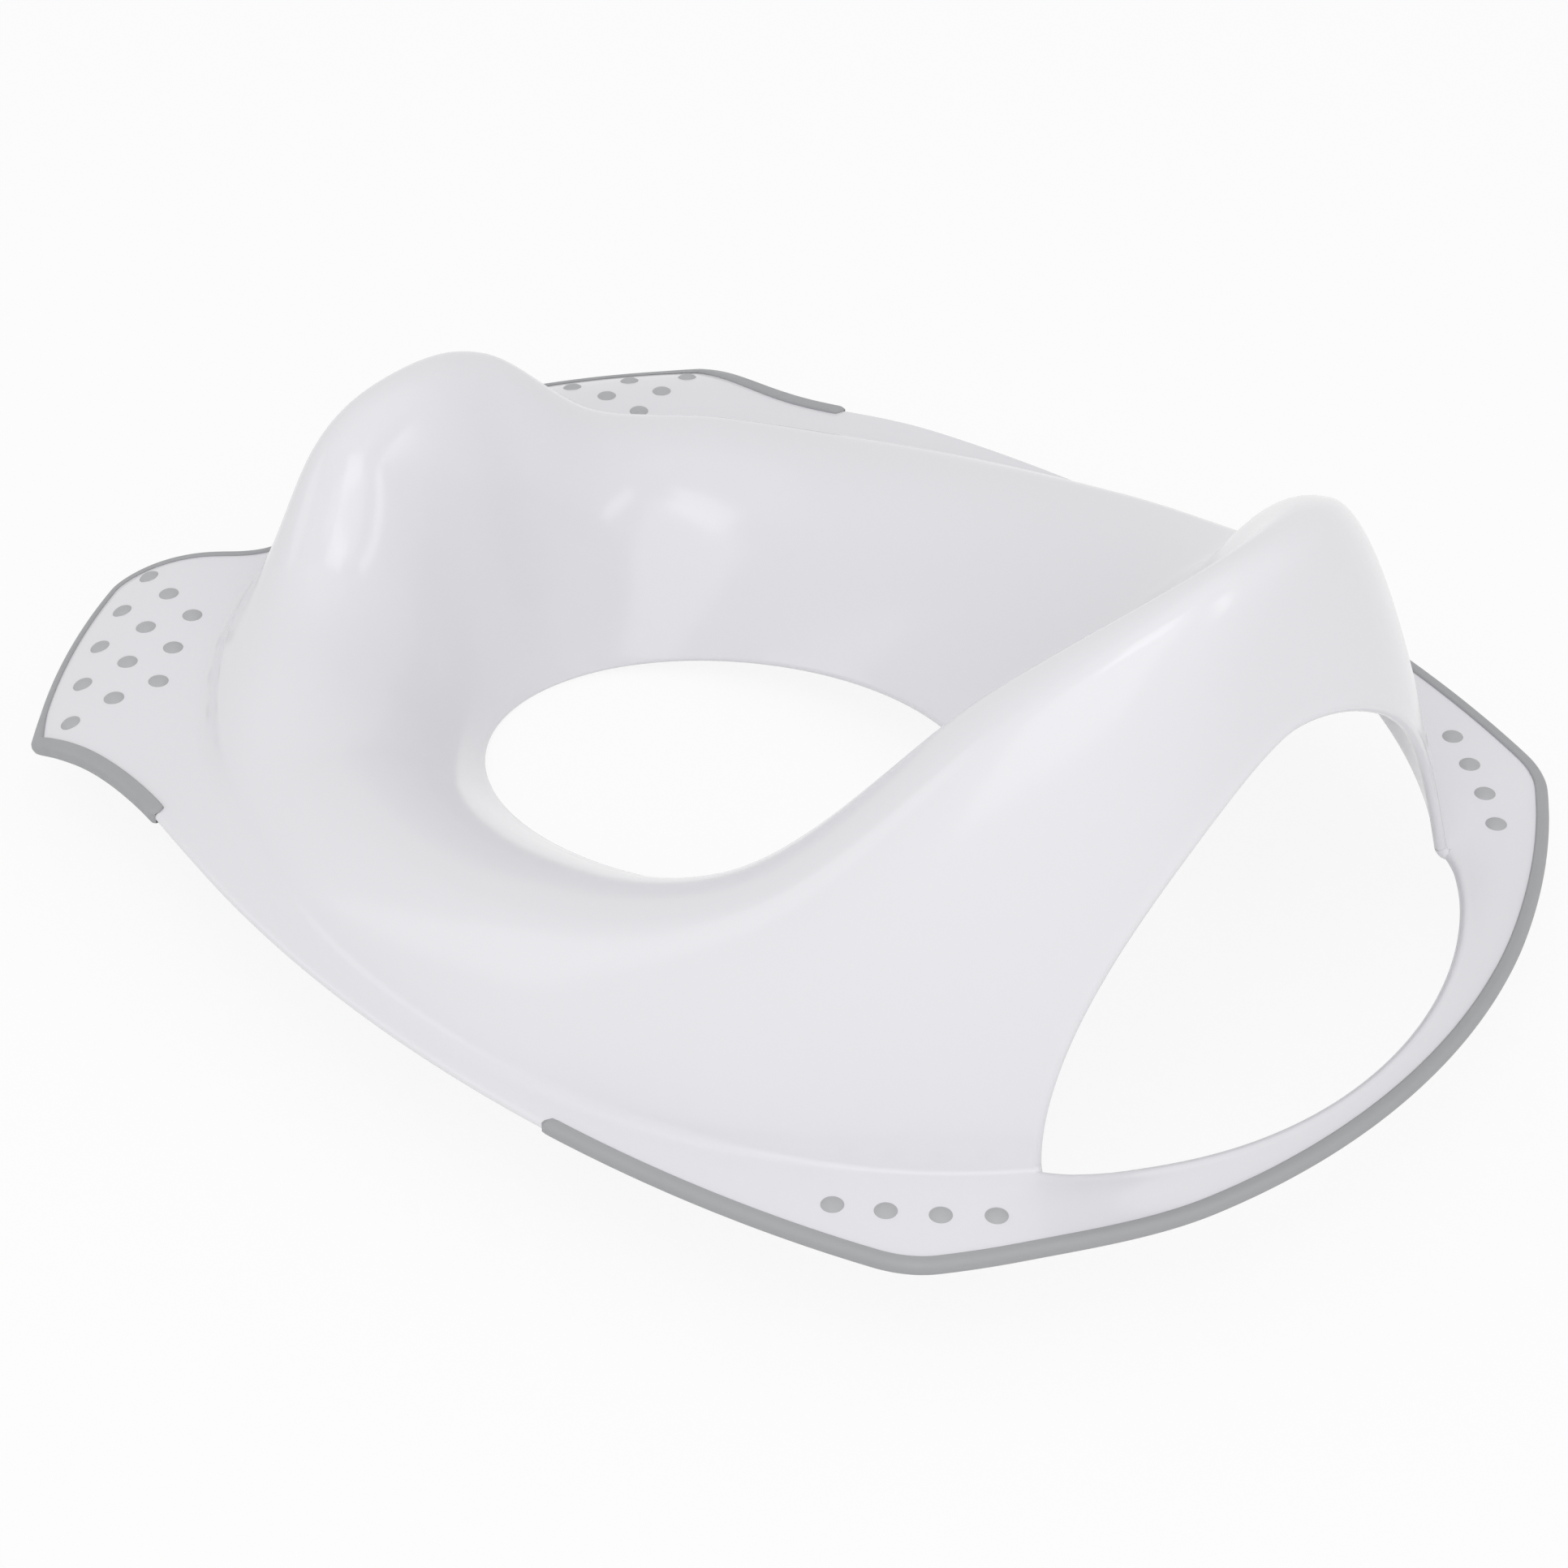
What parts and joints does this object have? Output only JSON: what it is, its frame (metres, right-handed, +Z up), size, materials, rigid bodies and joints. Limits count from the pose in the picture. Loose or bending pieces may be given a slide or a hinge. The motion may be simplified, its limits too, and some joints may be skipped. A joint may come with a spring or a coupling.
{
  "type": "potty training seat",
  "caption": "One-piece moulded toilet training seat with splash guard, high back with arched carrying opening, soft edge grips and grip dots.",
  "frame": {"origin": "under the middle of the overall length and width, on the level of the bowl's lowest point", "axes": "+Z up, -Y the way the child faces (splash guard in front, back at +Y), +X to the child's left"},
  "size_m": [0.3038, 0.401, 0.1677],
  "materials": {
    "shell_plastic": "gloss",
    "grip_rubber": "satin",
    "dot_rubber": "satin"
  },
  "bodies": {
    "root": {"seat_shell": "shell_plastic", "grip_rear": "grip_rubber", "grip_left_ear": "grip_rubber", "grip_right_ear": "grip_rubber", "dot_left_ear_1": "dot_rubber", "dot_left_ear_2": "dot_rubber", "dot_left_ear_3": "dot_rubber", "dot_left_ear_4": "dot_rubber", "dot_left_ear_5": "dot_rubber", "dot_left_ear_6": "dot_rubber", "dot_left_ear_7": "dot_rubber", "dot_left_ear_8": "dot_rubber", "dot_left_ear_9": "dot_rubber", "dot_left_ear_10": "dot_rubber", "dot_left_ear_11": "dot_rubber", "dot_left_ear_12": "dot_rubber", "dot_right_ear_1": "dot_rubber", "dot_right_ear_2": "dot_rubber", "dot_right_ear_3": "dot_rubber", "dot_right_ear_4": "dot_rubber", "dot_right_ear_5": "dot_rubber", "dot_right_ear_6": "dot_rubber", "dot_right_ear_7": "dot_rubber", "dot_right_ear_8": "dot_rubber", "dot_right_ear_9": "dot_rubber", "dot_right_ear_10": "dot_rubber", "dot_right_ear_11": "dot_rubber", "dot_right_ear_12": "dot_rubber", "dot_left_rear_1": "dot_rubber", "dot_left_rear_2": "dot_rubber", "dot_left_rear_3": "dot_rubber", "dot_left_rear_4": "dot_rubber", "dot_right_rear_1": "dot_rubber", "dot_right_rear_2": "dot_rubber", "dot_right_rear_3": "dot_rubber", "dot_right_rear_4": "dot_rubber"}
  },
  "joints": []
}
